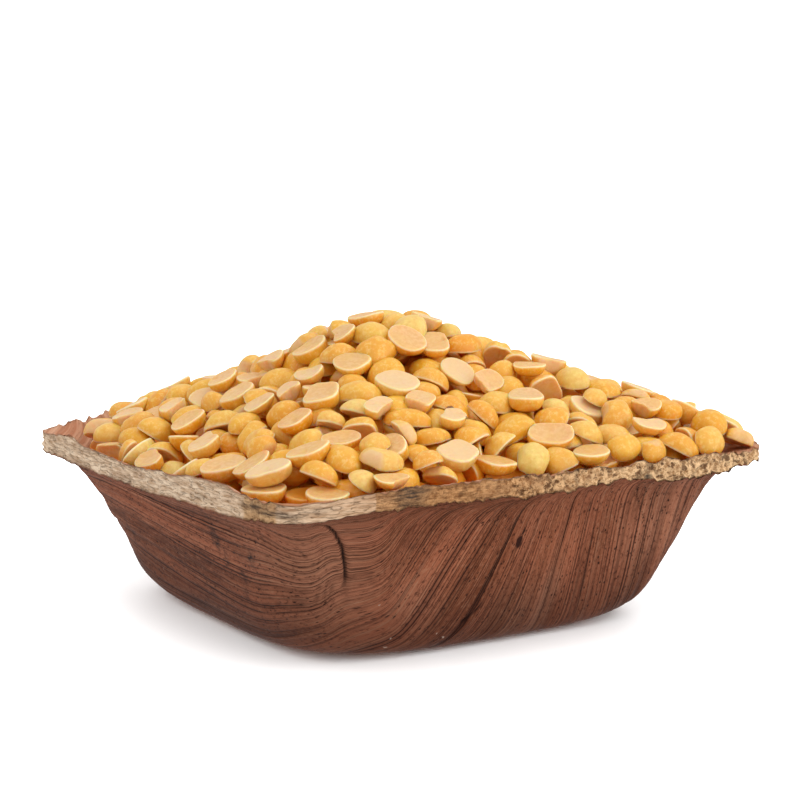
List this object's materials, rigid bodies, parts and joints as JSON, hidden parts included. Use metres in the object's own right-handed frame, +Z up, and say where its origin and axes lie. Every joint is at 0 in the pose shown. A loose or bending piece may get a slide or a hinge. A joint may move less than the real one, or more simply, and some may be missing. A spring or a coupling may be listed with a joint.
{
  "type": "dish of split pigeon peas",
  "caption": "Small square pressed-leaf dish with a flared, warped rim, heaped above the brim with dry split yellow peas.",
  "frame": {"origin": "middle of the dish's foot, on the surface that it stands on", "axes": "+Z up, the dish's four sides facing along X and Y, its front wall facing -Y"},
  "size_m": [0.0888, 0.0889, 0.0474],
  "materials": {
    "leaf": "satin",
    "pea": "waxy satin"
  },
  "bodies": {
    "root": {"dish": "leaf", "pea_heap": "pea"}
  },
  "joints": []
}
